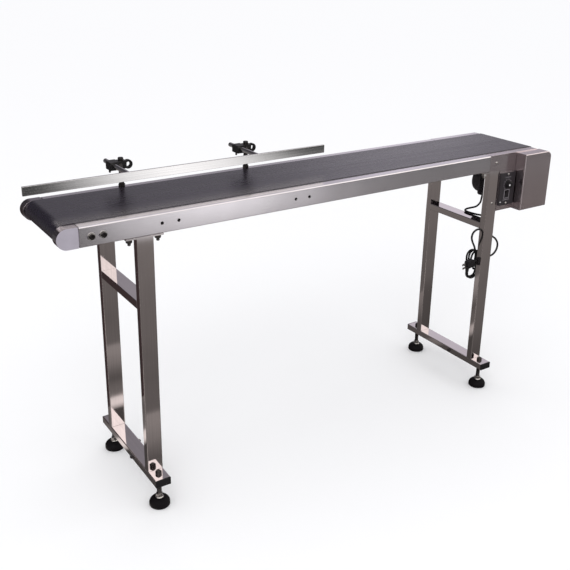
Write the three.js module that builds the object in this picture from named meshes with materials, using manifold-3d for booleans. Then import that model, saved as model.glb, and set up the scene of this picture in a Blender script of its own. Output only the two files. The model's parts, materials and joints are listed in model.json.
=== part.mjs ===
// Belt conveyor section: belt loop on a slider bed between two channel rails, head drive
// with a side cover and control panel, two H-stands, one adjustable guide bar, mains cord.
// Units are millimetres. X runs along the conveyor (tail -X, drive +X), Z is up, the
// operator stands on the -Y side ("near").
import * as THREE from 'three';
import { mergeVertices } from 'three/addons/utils/BufferGeometryUtils.js';
import Module from 'manifold-3d';

const wasm = await Module();
wasm.setup();

// ---- driving dimensions ----
const GAP = 0.3;
const SHEET = 2;

// side rails: C channel, open towards the belt
const RAIL_TOP = 755;
const RAIL_BOTTOM = 707.5;
const RAIL_OUT = 128.5;
const FLANGE_IN = 102.5;
const LOWER_FLANGE_IN = 108;
const RAIL_X = [-697.4, 545.4];
const BEND_R = 4;
const SPARE_HOLE_X = [-504.5, -462.9, -141.1, -100.2];

// belt and rollers
const BELT_TOP = 757;
const BELT_T = 2;
const BELT_HALF = 101.5;
const BELT_R = 24.5;
const ROLL_Z = BELT_TOP - BELT_R;
const TAIL_ROLL_X = -718.8;
const HEAD_ROLL_X = 737.8;
const DRUM_R = BELT_R - BELT_T - GAP;
const DRUM_HALF = 100;
const SHAFT_R = 8;
const SHAFT_HOLE_R = 8.1;

// tail end
const CAP_END_X = -747.8;
const CAP_R = 23.8;
const CAP_SEAM = 1.8;
const TAKE_UP_X = [-670.6, -643.6];
const TAKE_UP_Z = 729.6;

// stands, made of 40 x 20 rectangular tube
const TUBE_W = 40;
const TUBE_D = 20;
const TUBE_WALL = 1.5;
const STAND_X = { tail: -547.2, head: 569.6 };
const PLATE_T = 4;
const CROSSBAR_Z = [525, 545];
const FOOT_BAR_Z = [69, 89];
const FOOT_BAR_HALF = 171;
const FOOT_Y = 145.5;
const PAD_R = 26;
const STUD_R = 6;

// drive end
const DRIVE_X = 546.6;
const APRON_X = [590.5, 754];
const DRIVE_BOTTOM = 580;
const COVER = { x: [656, 770.8], z: [580, 753], y: [128.8, 164.5], corner: 20, sheet: 1.6 };
const MOTOR = { x: 700.2, z: 625, half: 42, gearY: [-126.2, -60], bodyY: [-59.7, 15], endY: 47 };
const PULLEY_R = 15;
const PULLEY_Y = [-157, -141];
const PANEL = { x: [591.9, 653.1], z: [596.5, 698], y: [-135, -129], corner: 4 };
const KNOB = { x: 622.3, z: 661, r: 10 };
const ROCKER = { x: 622.3, z: 631, half: [6.5, 9.5], tilt: 0.14 };

// guide bar on two rods, clamps and posts
const GUIDE_BAR = { x: [-770.8, 40.3], y: [6, 12], z: [798.5, 820] };
const POST_X = [-497.8, -141.8];
const POST_Y = 115;
const ROD_OFFSET = -21;
const ROD_Z = 812.5;
const ROD_R = 6;
const ROD_END_Y = 162;
const CLAMP_BORE_R = ROD_R + GAP;

// mains cord
const CORD_R = 3;

// ---- colours: [red, green, blue], roughness, metalness ----
const FINISH = {
  brushed: [[0.62, 0.6, 0.62], 0.32, 1],
  polished: [[0.66, 0.63, 0.62], 0.18, 1],
  steel: [[0.55, 0.55, 0.56], 0.3, 1],
  belt: [[0.13, 0.125, 0.16], 0.75, 0],
  greyPlastic: [[0.45, 0.44, 0.5], 0.5, 0],
  blackPlastic: [[0.02, 0.02, 0.022], 0.45, 0],
  blackRubber: [[0.025, 0.025, 0.027], 0.7, 0],
  motorPaint: [[0.03, 0.03, 0.035], 0.5, 0.3],
  drum: [[0.3, 0.3, 0.31], 0.45, 1],
};

const part = new THREE.Group();
part.name = 'belt_conveyor_section';

function add(name, geometry, finish) {
  const [rgb, roughness, metalness] = FINISH[finish];
  const colour = new THREE.Color(rgb[0], rgb[1], rgb[2]);
  const material = new THREE.MeshStandardMaterial({ color: colour, roughness, metalness });
  const mesh = new THREE.Mesh(geometry, material);
  mesh.name = name;
  part.add(mesh);
}

// ---- solid helpers ----
function solidOf(geometry) {
  const bare = geometry.clone();
  bare.deleteAttribute('normal');
  bare.deleteAttribute('uv');
  const merged = mergeVertices(bare, 1e-5);
  return new wasm.Manifold(new wasm.Mesh({
    numProp: 3,
    vertProperties: new Float32Array(merged.attributes.position.array),
    triVerts: new Uint32Array(merged.index.array),
  }));
}

function geometryOf(solid) {
  const mesh = solid.getMesh();
  const geometry = new THREE.BufferGeometry();
  geometry.setAttribute('position', new THREE.BufferAttribute(mesh.vertProperties, 3));
  geometry.setIndex(new THREE.BufferAttribute(mesh.triVerts, 1));
  const flat = geometry.toNonIndexed();
  flat.computeVertexNormals();
  return flat;
}

function join(geometries) {
  let solid = solidOf(geometries[0]);
  for (const geometry of geometries.slice(1)) {
    solid = solid.add(solidOf(geometry));
  }
  return geometryOf(solid);
}

function cut(geometry, tools) {
  let solid = solidOf(geometry);
  for (const tool of tools) {
    solid = solid.subtract(solidOf(tool));
  }
  return geometryOf(solid);
}

function box(x, y, z) {
  const geometry = new THREE.BoxGeometry(x[1] - x[0], y[1] - y[0], z[1] - z[0]);
  return geometry.translate((x[0] + x[1]) / 2, (y[0] + y[1]) / 2, (z[0] + z[1]) / 2);
}

// cylinder along an axis from `from` to `to`; the other two coordinates are `at`
function rod(axis, radius, from, to, at, sides = 32) {
  const geometry = new THREE.CylinderGeometry(radius, radius, to - from, sides);
  const middle = (from + to) / 2;
  if (axis === 'x') {
    return geometry.rotateZ(-Math.PI / 2).translate(middle, at[0], at[1]);
  }
  if (axis === 'y') {
    return geometry.translate(at[0], middle, at[1]);
  }
  return geometry.rotateX(Math.PI / 2).translate(at[0], at[1], middle);
}

function shapeOf(points) {
  return new THREE.Shape(points.map(([a, b]) => new THREE.Vector2(a, b)));
}

// extrusion of a shape drawn in (y, z), from x[0] to x[1]
function prismX(shape, x, curveSegments = 6) {
  const geometry = new THREE.ExtrudeGeometry(shape, {
    depth: x[1] - x[0], bevelEnabled: false, curveSegments,
  });
  const basis = new THREE.Matrix4().makeBasis(
    new THREE.Vector3(0, 1, 0), new THREE.Vector3(0, 0, 1), new THREE.Vector3(1, 0, 0));
  return geometry.applyMatrix4(basis).translate(x[0], 0, 0);
}

// extrusion of a shape drawn in (x, z), from y[0] to y[1]
function prismY(shape, y, curveSegments = 6) {
  const geometry = new THREE.ExtrudeGeometry(shape, {
    depth: y[1] - y[0], bevelEnabled: false, curveSegments,
  });
  const basis = new THREE.Matrix4().makeBasis(
    new THREE.Vector3(1, 0, 0), new THREE.Vector3(0, 0, 1), new THREE.Vector3(0, -1, 0));
  return geometry.applyMatrix4(basis).translate(0, y[1], 0);
}

function mirrorY(geometry) {
  const flipped = geometry.index ? geometry.toNonIndexed() : geometry.clone();
  const position = flipped.attributes.position;
  for (let i = 0; i < position.count; i += 3) {
    const swap = [position.getX(i), position.getY(i), position.getZ(i)];
    position.setXYZ(i, position.getX(i + 1), -position.getY(i + 1), position.getZ(i + 1));
    position.setXYZ(i + 1, swap[0], -swap[1], swap[2]);
    position.setY(i + 2, -position.getY(i + 2));
  }
  flipped.computeVertexNormals();
  return flipped;
}

function side(geometry, which) {
  return which === 'near' ? mirrorY(geometry) : geometry;
}

function roundedRect(a, b, r) {
  const shape = new THREE.Shape();
  shape.moveTo(a[0] + r, b[0]);
  shape.lineTo(a[1] - r, b[0]);
  shape.absarc(a[1] - r, b[0] + r, r, -Math.PI / 2, 0);
  shape.lineTo(a[1], b[1] - r);
  shape.absarc(a[1] - r, b[1] - r, r, 0, Math.PI / 2);
  shape.lineTo(a[0] + r, b[1]);
  shape.absarc(a[0] + r, b[1] - r, r, Math.PI / 2, Math.PI);
  shape.lineTo(a[0], b[0] + r);
  shape.absarc(a[0] + r, b[0] + r, r, Math.PI, Math.PI * 1.5);
  return shape;
}

// closed outline of a belt round two equal circles at p and q
function beltOutline(p, q, r) {
  const angle = Math.atan2(q[1] - p[1], q[0] - p[0]);
  const outline = new THREE.Path();
  outline.absarc(q[0], q[1], r, angle - Math.PI / 2, angle + Math.PI / 2);
  outline.absarc(p[0], p[1], r, angle + Math.PI / 2, angle + Math.PI * 1.5);
  outline.closePath();
  return outline;
}

function loop(p, q, innerR, outerR, y, curveSegments) {
  const shape = new THREE.Shape();
  shape.curves = beltOutline(p, q, outerR).curves;
  shape.holes.push(beltOutline(p, q, innerR));
  return prismY(shape, y, curveSegments);
}

// round tube along a smooth line through the points
function tube(points, radius, steps, sides = 10) {
  const curve = new THREE.CatmullRomCurve3(
    points.map(([x, y, z]) => new THREE.Vector3(x, y, z)), false, 'centripetal');
  const ring = [];
  for (let i = 0; i < sides; i += 1) {
    const angle = (i * 2 * Math.PI) / sides;
    ring.push([radius * Math.cos(angle), radius * Math.sin(angle)]);
  }
  return new THREE.ExtrudeGeometry(shapeOf(ring), { steps, extrudePath: curve, bevelEnabled: false });
}

// ---- side rails ----
function railProfile() {
  const shape = new THREE.Shape();
  shape.moveTo(LOWER_FLANGE_IN, RAIL_BOTTOM);
  shape.lineTo(RAIL_OUT, RAIL_BOTTOM);
  shape.lineTo(RAIL_OUT, RAIL_TOP - BEND_R);
  shape.absarc(RAIL_OUT - BEND_R, RAIL_TOP - BEND_R, BEND_R, 0, Math.PI / 2);
  shape.lineTo(FLANGE_IN, RAIL_TOP);
  shape.lineTo(FLANGE_IN, RAIL_TOP - 5);
  shape.lineTo(FLANGE_IN + SHEET, RAIL_TOP - 5);
  shape.lineTo(FLANGE_IN + SHEET, RAIL_TOP - SHEET);
  shape.lineTo(RAIL_OUT - BEND_R, RAIL_TOP - SHEET);
  shape.absarc(RAIL_OUT - BEND_R, RAIL_TOP - BEND_R, BEND_R - SHEET, Math.PI / 2, 0, true);
  shape.lineTo(RAIL_OUT - SHEET, RAIL_BOTTOM + SHEET);
  shape.lineTo(LOWER_FLANGE_IN, RAIL_BOTTOM + SHEET);
  shape.closePath();
  return shape;
}

function railHoles() {
  const through = [RAIL_OUT - 5, RAIL_OUT + 5];
  const slots = TAKE_UP_X.map((x) => prismY(
    roundedRect([x - 11, x + 7], [TAKE_UP_Z - 3.6, TAKE_UP_Z + 3.6], 3.5), through, 5));
  const spare = SPARE_HOLE_X.map((x) => rod('y', 4, through[0], through[1], [x, 731], 20));
  return slots.concat(spare);
}

for (const which of ['near', 'far']) {
  const rail = cut(prismX(railProfile(), RAIL_X, 5), railHoles());
  add(`${which}_rail`, side(rail, which), 'brushed');
}

// ---- slider bed on three cross ties ----
const bedProfile = shapeOf([
  [-101, 738], [-99, 738], [-99, 752.7], [99, 752.7], [99, 738], [101, 738],
  [101, 754.7], [-101, 754.7]]);
add('slider_bed', prismX(bedProfile, [-694, 712]), 'brushed');

['tail', 'middle', 'head'].forEach((name, i) => {
  const x = [-580, -10, 500][i];
  const outer = box([x - 10, x + 10], [-126.2, 126.2], [717.7, 737.7]);
  const inner = box([x - 8, x + 8], [-130, 130], [719.7, 735.7]);
  add(`${name}_cross_tie`, cut(outer, [inner]), 'steel');
});

// ---- tail caps with their take-up tongues, and the tongue bolts ----
function tailCap() {
  const centre = [CAP_END_X + CAP_R, RAIL_BOTTOM + CAP_R];
  const seam = RAIL_X[0] - CAP_SEAM;
  const outline = new THREE.Shape();
  outline.moveTo(seam, centre[1] - CAP_R);
  outline.lineTo(seam, centre[1] + CAP_R);
  outline.lineTo(centre[0], centre[1] + CAP_R);
  outline.absarc(centre[0], centre[1], CAP_R, Math.PI / 2, Math.PI * 1.5);
  outline.closePath();
  const body = prismY(outline, [FLANGE_IN + GAP, RAIL_OUT], 20);
  const tongue = box([seam - 6, -622], [112, 126.1], [711.5, 749.5]);
  const bore = rod('y', SHAFT_HOLE_R, 90, 120, [TAIL_ROLL_X, ROLL_Z]);
  const screwHoles = TAKE_UP_X.map((x) => rod('y', 3.3, 100, 140, [x, TAKE_UP_Z], 20));
  return cut(join([body, tongue]), [bore, ...screwHoles]);
}

function takeUpBolt(x) {
  const washer = rod('y', 9, RAIL_OUT + GAP, RAIL_OUT + 1.9, [x, TAKE_UP_Z], 28);
  const head = rod('y', 6.2, RAIL_OUT + 1, RAIL_OUT + 6.5, [x, TAKE_UP_Z], 28);
  const shank = rod('y', 3, 114, RAIL_OUT + 1, [x, TAKE_UP_Z], 20);
  const socket = rod('y', 3, RAIL_OUT + 3, RAIL_OUT + 9, [x, TAKE_UP_Z], 6);
  return cut(join([washer, head, shank]), [socket]);
}

for (const which of ['near', 'far']) {
  add(`${which}_tail_cap`, side(tailCap(), which), 'greyPlastic');
  TAKE_UP_X.forEach((x, i) => {
    add(`${which}_take_up_bolt_${i + 1}`, side(takeUpBolt(x), which), 'steel');
  });
}

// ---- belt and rollers ----
add('conveyor_belt', loop([TAIL_ROLL_X, ROLL_Z], [HEAD_ROLL_X, ROLL_Z],
  BELT_R - BELT_T, BELT_R, [-BELT_HALF, BELT_HALF], 18), 'belt');

const tailRoller = join([
  rod('y', DRUM_R, -DRUM_HALF, DRUM_HALF, [TAIL_ROLL_X, ROLL_Z], 48),
  rod('y', SHAFT_R, -119.5, 119.5, [TAIL_ROLL_X, ROLL_Z])]);
add('tail_roller', tailRoller, 'drum');

const driveRoller = join([
  rod('y', DRUM_R, -DRUM_HALF, DRUM_HALF, [HEAD_ROLL_X, ROLL_Z], 48),
  rod('y', SHAFT_R, -159, RAIL_OUT - 0.5, [HEAD_ROLL_X, ROLL_Z])]);
add('drive_roller', driveRoller, 'drum');

// ---- drive side plates: D-ended pans; the near one has the apron of the drive ----
function panOutline(inset) {
  const r = (RAIL_TOP - RAIL_BOTTOM) / 2 - inset;
  const z = (RAIL_TOP + RAIL_BOTTOM) / 2;
  const left = inset > 0 ? DRIVE_X - 5 : DRIVE_X;
  const outline = new THREE.Shape();
  outline.moveTo(left, z - r);
  outline.lineTo(HEAD_ROLL_X, z - r);
  outline.absarc(HEAD_ROLL_X, z, r, -Math.PI / 2, Math.PI / 2);
  outline.lineTo(left, z + r);
  outline.closePath();
  return outline;
}

function drivePan() {
  const solid = prismY(panOutline(0), [FLANGE_IN, RAIL_OUT], 20);
  const hollow = prismY(panOutline(SHEET), [FLANGE_IN - 5, RAIL_OUT - SHEET], 20);
  return cut(solid, [hollow, rod('y', SHAFT_HOLE_R, 100, 140, [HEAD_ROLL_X, ROLL_Z])]);
}

add('far_drive_plate', drivePan(), 'brushed');

const web = [RAIL_OUT - SHEET, RAIL_OUT];
const apron = join([
  drivePan(),
  box(APRON_X, web, [DRIVE_BOTTOM, RAIL_BOTTOM + 1]),
  box([APRON_X[0], APRON_X[0] + SHEET], [110, RAIL_OUT], [DRIVE_BOTTOM, RAIL_BOTTOM + 1]),
  box(APRON_X, [110, RAIL_OUT], [DRIVE_BOTTOM, DRIVE_BOTTOM + SHEET])]);
const apronCuts = [
  rod('y', 14, 100, 140, [MOTOR.x, MOTOR.z], 32),
  box([598.8, 646.2], [120, 140], [604, 691])];
add('near_drive_plate', mirrorY(cut(apron, apronCuts)), 'brushed');

// ---- drive cover: open-backed sheet box over the pulleys ----
function coverOutline(inset) {
  const [x0, x1] = [COVER.x[0] + inset, COVER.x[1] - inset];
  const [z0, z1] = [COVER.z[0] + inset, COVER.z[1] - inset];
  const r = COVER.corner - inset;
  const outline = new THREE.Shape();
  outline.moveTo(x0, z0);
  outline.lineTo(x1, z0);
  outline.lineTo(x1, z1 - r);
  outline.absarc(x1 - r, z1 - r, r, 0, Math.PI / 2);
  outline.lineTo(x0, z1);
  outline.closePath();
  return outline;
}
const coverShell = cut(
  prismY(coverOutline(0), COVER.y, 8),
  [prismY(coverOutline(COVER.sheet), [COVER.y[0] - 5, COVER.y[1] - COVER.sheet], 8)]);
add('drive_cover', mirrorY(coverShell), 'brushed');

// ---- gear motor under the belt, pulleys and drive belt inside the cover ----
const motorX = [MOTOR.x - MOTOR.half, MOTOR.x + MOTOR.half];
const motorZ = [MOTOR.z - MOTOR.half, MOTOR.z + MOTOR.half];
const gearbox = cut(prismY(roundedRect(motorX, motorZ, 6), MOTOR.gearY, 4),
  [rod('y', 6.1, -130, -112, [MOTOR.x, MOTOR.z])]);
add('gearbox', gearbox, 'steel');

const motorBody = join([
  prismY(roundedRect(motorX, motorZ, 10), MOTOR.bodyY, 5),
  rod('y', MOTOR.half, MOTOR.bodyY[1] - 1, MOTOR.endY, [MOTOR.x, MOTOR.z], 48)]);
add('motor', motorBody, 'motorPaint');

function pulley(at, bore) {
  const toothed = rod('y', PULLEY_R, PULLEY_Y[0] + 1.5, PULLEY_Y[1] - 1.5, at, 32);
  const cheeks = [
    rod('y', PULLEY_R + 1.6, PULLEY_Y[0], PULLEY_Y[0] + 1.5, at, 32),
    rod('y', PULLEY_R + 1.6, PULLEY_Y[1] - 1.5, PULLEY_Y[1], at, 32)];
  return cut(join([toothed, ...cheeks]), bore ? [rod('y', bore, -170, -100, at)] : []);
}
const motorAxis = [MOTOR.x, MOTOR.z];
const rollerAxis = [HEAD_ROLL_X, ROLL_Z];
add('motor_pulley', join([pulley(motorAxis, 0), rod('y', 6, -160, -113, motorAxis)]), 'steel');
add('roller_pulley', pulley(rollerAxis, SHAFT_HOLE_R), 'steel');
add('drive_belt', loop(motorAxis, rollerAxis, PULLEY_R + GAP, PULLEY_R + 2.2,
  [PULLEY_Y[0] + 1.9, PULLEY_Y[1] - 1.9], 14), 'blackRubber');

// ---- control panel, its box behind the apron, knob and rocker ----
const panelHoles = [
  rod('y', 3.6, -140, -120, [KNOB.x, KNOB.z], 24),
  box([ROCKER.x - ROCKER.half[0] - 0.5, ROCKER.x + ROCKER.half[0] + 0.5], [-140, -120],
    [ROCKER.z - ROCKER.half[1] - 0.8, ROCKER.z + ROCKER.half[1] + 0.8])];
const panelPlate = prismY(roundedRect(PANEL.x, PANEL.z, PANEL.corner), PANEL.y, 5);
add('control_panel', cut(panelPlate, panelHoles), 'blackPlastic');

const controlBox = cut(
  box([599.3, 645.7], [-128.6, -72], [604.5, 690.5]),
  [rod('y', 3.6, -140, -118, [KNOB.x, KNOB.z], 24),
    box([ROCKER.x - 7, ROCKER.x + 7], [-140, -116], [ROCKER.z - 10.5, ROCKER.z + 10.5])]);
add('control_box', controlBox, 'blackPlastic');

const knob = join([
  rod('y', KNOB.r + 2, -137.4, -135.4, [KNOB.x, KNOB.z], 36),
  rod('y', KNOB.r, -149, -137, [KNOB.x, KNOB.z], 36),
  rod('y', 3, -136, -120, [KNOB.x, KNOB.z], 20)]);
add('speed_knob', knob, 'blackPlastic');

const rockerProfile = shapeOf([
  [0, -ROCKER.half[1]], [-7, -ROCKER.half[1]], [-4.6, 0],
  [-7, ROCKER.half[1]], [0, ROCKER.half[1]], [5, 0]]);
const rocker = prismX(rockerProfile, [-ROCKER.half[0], ROCKER.half[0]]);
add('power_switch', rocker.rotateX(ROCKER.tilt).translate(ROCKER.x, -131, ROCKER.z),
  'blackPlastic');

// ---- stands ----
function leg(x, which) {
  const inner = RAIL_OUT - TUBE_D;
  const top = RAIL_BOTTOM - GAP - PLATE_T;
  const bottom = FOOT_BAR_Z[1] + GAP;
  const outer = box([x - TUBE_W / 2, x + TUBE_W / 2], [inner, RAIL_OUT], [bottom, top + 1]);
  const hollow = box([x - TUBE_W / 2 + TUBE_WALL, x + TUBE_W / 2 - TUBE_WALL],
    [inner + TUBE_WALL, RAIL_OUT - TUBE_WALL], [bottom - 1, top]);
  const right = x > 0 ? x + TUBE_W / 2 : x + 46;
  const plate = box([x - 46, right], [inner, RAIL_OUT], [top, top + PLATE_T]);
  return side(join([cut(outer, [hollow]), plate]), which);
}

// flat tube along Y with open ends
function barY(x, halfLength, z) {
  const outer = box([x - TUBE_W / 2, x + TUBE_W / 2], [-halfLength, halfLength], z);
  const inner = box([x - TUBE_W / 2 + TUBE_WALL, x + TUBE_W / 2 - TUBE_WALL],
    [-halfLength - 1, halfLength + 1], [z[0] + TUBE_WALL, z[1] - TUBE_WALL]);
  return cut(outer, [inner]);
}

function footBar(x) {
  const holes = [-FOOT_Y, FOOT_Y].map((y) => rod('z', STUD_R + GAP, 60, 95, [x, y], 28));
  return cut(barY(x, FOOT_BAR_HALF, FOOT_BAR_Z), holes);
}

function endCap(x) {
  const flange = box([x - 20, x + 20], [FOOT_BAR_HALF + GAP, FOOT_BAR_HALF + 3], FOOT_BAR_Z);
  const plug = box([x - 18, x + 18], [158, FOOT_BAR_HALF + 1],
    [FOOT_BAR_Z[0] + 2, FOOT_BAR_Z[1] - 2]);
  return join([flange, plug]);
}

function pad(x, y) {
  const profile = [
    [0, 0], [PAD_R - 1, 0], [PAD_R, 1.5], [PAD_R, 7], [25, 12], [22, 16.5], [17, 20.3],
    [11, 22], [0, 22]];
  const geometry = new THREE.LatheGeometry(profile.map(([r, z]) => new THREE.Vector2(r, z)), 40);
  return geometry.rotateX(Math.PI / 2).translate(x, y, 0);
}

function stud(x, y) {
  return join([
    rod('z', STUD_R, 22 + GAP, 102, [x, y], 28),
    rod('z', 9.5, 22 + GAP, 30, [x, y], 6)]);
}

for (const [stand, x] of Object.entries(STAND_X)) {
  for (const which of ['near', 'far']) {
    add(`${stand}_${which}_leg`, leg(x, which), 'polished');
  }
  add(`${stand}_crossbar`, barY(x, RAIL_OUT - TUBE_D - GAP, CROSSBAR_Z), 'polished');
  add(`${stand}_foot_bar`, footBar(x), 'polished');
  for (const which of ['near', 'far']) {
    const y = which === 'near' ? -FOOT_Y : FOOT_Y;
    add(`${stand}_${which}_bar_cap`, side(endCap(x), which), 'blackPlastic');
    add(`${stand}_${which}_foot_stud`, stud(x, y), 'steel');
    add(`${stand}_${which}_foot_pad`, pad(x, y), 'blackRubber');
  }
}

// ---- guide bar, rods, clamps and posts ----
add('guide_bar', box(GUIDE_BAR.x, GUIDE_BAR.y, GUIDE_BAR.z), 'brushed');

function clamp(x) {
  const rodX = x + ROD_OFFSET;
  const ringX = x + 18;
  const ringZ = 810;
  const y = [POST_Y - 12, POST_Y + 12];
  const rodBlock = box([rodX - 11.5, rodX + 12], [y[0] - 2, y[1] + 4], [801, 821.5]);
  const postBlock = box([rodX, x + 11], [y[0] + 1, y[1] - 1], [802, 821.5]);
  const bridge = box([x, ringX - 8], [POST_Y - 4, POST_Y + 4], [803, 817]);
  const ring = rod('y', 11.5, POST_Y - 4.5, POST_Y + 4.5, [ringX, ringZ], 36);
  return cut(join([rodBlock, postBlock, bridge, ring]), [
    rod('y', CLAMP_BORE_R, 80, 150, [rodX, ROD_Z], 32),
    rod('y', CLAMP_BORE_R, 80, 150, [ringX, ringZ], 32),
    rod('z', CLAMP_BORE_R, 780, 840, [x, POST_Y], 32)]);
}

function post(x) {
  return join([
    rod('z', ROD_R, RAIL_TOP + GAP, 824.5, [x, POST_Y], 32),
    rod('z', 6.8, 824, 829, [x, POST_Y], 24),
    rod('z', 9, RAIL_TOP + GAP, 762, [x, POST_Y], 6)]);
}

POST_X.forEach((x, i) => {
  const n = i + 1;
  add(`guide_post_${n}`, post(x), 'steel');
  add(`guide_clamp_${n}`, clamp(x), 'blackPlastic');
  add(`guide_rod_${n}`, rod('y', ROD_R, GUIDE_BAR.y[1] + GAP, ROD_END_Y,
    [x + ROD_OFFSET, ROD_Z], 32), 'polished');
});

// ---- mains cord: gland, turn over the crossbar, one open loop, tied hank, plug ----
const GLAND = { x: 634, z: 612 };
const glandAxis = [GLAND.x, GLAND.z];
const reliefTaper = new THREE.CylinderGeometry(3.7, 5.4, 11, 20);
const cordGland = join([
  rod('y', 8, -71.7, -64, glandAxis, 6),
  rod('y', 6.4, -64.5, -58, glandAxis, 20),
  reliefTaper.translate(GLAND.x, -53.5, GLAND.z)]);
add('cord_gland', cordGland, 'blackPlastic');

const HANK = { at: [567, -77, 396.5], half: [22, 47], tilt: 0.12, thick: 24 };

// point on the hank's +X side, `up` above its middle and `off` away from its face
function besideHank(up, off) {
  const [c, s] = [Math.cos(HANK.tilt), Math.sin(HANK.tilt)];
  const x = HANK.half[0] + off;
  return [HANK.at[0] + x * c + up * s, HANK.at[1], HANK.at[2] - x * s + up * c];
}

const cordRoute = [
  [GLAND.x, -47.7, GLAND.z], [634, -40, 611.5], [634, -31, 604], [634, -28, 590],
  [632, -26, 573], [622, -20, 560], [610, -5, 552.5], [599, -1, 550], [589, -6, 548.8],
  [585, -19, 548.4], [586.5, -38, 548.4], [590, -54, 548.4], [597, -70, 547.4],
  [600.5, -84, 536], [599, -93, 516], [597, -97, 497], [595, -99, 478], [590, -100, 460],
  [579, -101, 447], [563, -101.5, 444], [549, -102, 453], [540, -103, 469], [531, -103, 484],
  [526, -103, 499], [530.5, -103, 512.5], [545, -103, 520.5], [563, -103, 518], [582, -103, 508],
  [614, -103, 488], [634, -103, 473], [644, -103, 456], [641, -103, 437], [629, -101, 423],
  [616, -93, 415], besideHank(18, 10), besideHank(18, 0.4)];
add('mains_cord', tube(cordRoute, CORD_R, 96, 8), 'blackRubber');

function hank() {
  const [x, z] = HANK.half;
  const body = prismY(roundedRect([-x, x], [-z, z], 21), [-HANK.thick / 2, HANK.thick / 2], 8);
  return body.rotateY(HANK.tilt).translate(...HANK.at);
}
add('cord_hank', hank(), 'blackRubber');

function hankTie() {
  const outer = box([-24.5, 24.5], [-14, 14], [-5, 5]);
  const inner = box([-22.8, 22.8], [-12.4, 12.4], [-6, 6]);
  return cut(outer, [inner]).rotateY(HANK.tilt).translate(...HANK.at);
}
add('hank_tie', hankTie(), 'blackPlastic');

const PLUG = { x: 532, y: -101.5, z: 413 };
function plug() {
  const body = prismY(roundedRect([-16, 12], [-11, 11], 5), [-8, 8], 4);
  const relief = rod('x', 5, 11, 30, [0, 0], 16);
  const blades = [-6, 6].map((z) => box([-33, -15], [-0.9, 0.9], [z - 3, z + 3]));
  return join([body, relief, ...blades]).rotateY(-0.2).translate(PLUG.x, PLUG.y, PLUG.z);
}
add('mains_plug', plug(), 'blackPlastic');

const plugLead = [
  [561.8, -101.5, 419.1], [574, -101.5, 421.5], [592, -101, 419], [605, -96, 407],
  [610, -86, 392], [604, -78, 380], besideHank(-15, 6), besideHank(-15, 0.4)];
add('plug_lead', tube(plugLead, CORD_R, 24, 8), 'blackRubber');

export default part;
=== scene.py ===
import json
import math

import bmesh
import bpy
from mathutils import Matrix, Vector


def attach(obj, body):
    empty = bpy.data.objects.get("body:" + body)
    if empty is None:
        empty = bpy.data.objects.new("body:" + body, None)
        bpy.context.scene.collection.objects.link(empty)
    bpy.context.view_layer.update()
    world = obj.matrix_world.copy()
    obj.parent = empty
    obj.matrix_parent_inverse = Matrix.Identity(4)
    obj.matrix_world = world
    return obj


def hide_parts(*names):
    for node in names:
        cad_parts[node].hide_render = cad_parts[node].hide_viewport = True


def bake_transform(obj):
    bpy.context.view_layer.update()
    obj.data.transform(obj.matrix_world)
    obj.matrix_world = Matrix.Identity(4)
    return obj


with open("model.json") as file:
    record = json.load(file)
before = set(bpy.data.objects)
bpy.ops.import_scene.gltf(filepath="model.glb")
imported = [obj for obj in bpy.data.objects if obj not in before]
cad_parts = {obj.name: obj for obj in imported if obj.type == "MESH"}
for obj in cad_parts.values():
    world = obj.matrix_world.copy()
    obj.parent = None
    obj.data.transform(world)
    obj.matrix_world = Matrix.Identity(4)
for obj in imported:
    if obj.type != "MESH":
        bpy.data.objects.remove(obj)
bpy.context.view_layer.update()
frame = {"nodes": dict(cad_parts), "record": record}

NODES = frame["nodes"]
RECORD = frame["record"]
BODY_OF = {n: body for body, names in RECORD["behaviour"]["bodies"].items() for n in names}
SLOT_OF = {row["node"]: row["material_slot"] for row in RECORD["subparts"]}
MM = 0.001
ROOT = "conveyor_frame"
NEAR, FAR = -1, 1

# ---------------------------------------------------------------- camera


def make_camera():
    yaw, pitch, roll = 0.5923, 0.3474, -0.0187
    right = Vector((math.cos(yaw), -math.sin(yaw), 0))
    forward = Vector((math.sin(yaw) * math.cos(pitch), math.cos(yaw) * math.cos(pitch),
                      -math.sin(pitch)))
    down = forward.cross(right)
    across = math.cos(roll) * right + math.sin(roll) * down
    up = math.sin(roll) * right - math.cos(roll) * down
    data = bpy.data.cameras.new("camera")
    data.sensor_width = 36
    data.lens = 51.54
    data.shift_x = -0.0061
    data.shift_y = -0.0802
    camera = bpy.data.objects.new("camera", data)
    turn = Matrix((across, up, -forward)).transposed().to_4x4()
    camera.matrix_world = Matrix.Translation((-1.23839, -1.72911, 1.32713)) @ turn
    bpy.context.scene.collection.objects.link(camera)
    bpy.context.scene.camera = camera


make_camera()

# ---------------------------------------------------------------- materials


def start_material(name):
    material = bpy.data.materials.new(name)
    material.use_nodes = True
    tree = material.node_tree
    return material, tree, tree.nodes["Principled BSDF"]


def noise(tree, stretch, scale, detail=3.0, rough=0.55):
    place = tree.nodes.new("ShaderNodeTexCoord")
    mapping = tree.nodes.new("ShaderNodeMapping")
    mapping.inputs["Scale"].default_value = stretch
    texture = tree.nodes.new("ShaderNodeTexNoise")
    texture.inputs["Scale"].default_value = scale
    texture.inputs["Detail"].default_value = detail
    texture.inputs["Roughness"].default_value = rough
    tree.links.new(place.outputs["Object"], mapping.inputs["Vector"])
    tree.links.new(mapping.outputs["Vector"], texture.inputs["Vector"])
    return texture.outputs["Fac"]


def spread(tree, value, low, high, start=0.3, end=0.7):
    remap = tree.nodes.new("ShaderNodeMapRange")
    remap.inputs["From Min"].default_value = start
    remap.inputs["From Max"].default_value = end
    remap.inputs["To Min"].default_value = low
    remap.inputs["To Max"].default_value = high
    tree.links.new(value, remap.inputs["Value"])
    return remap.outputs["Result"]


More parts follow.
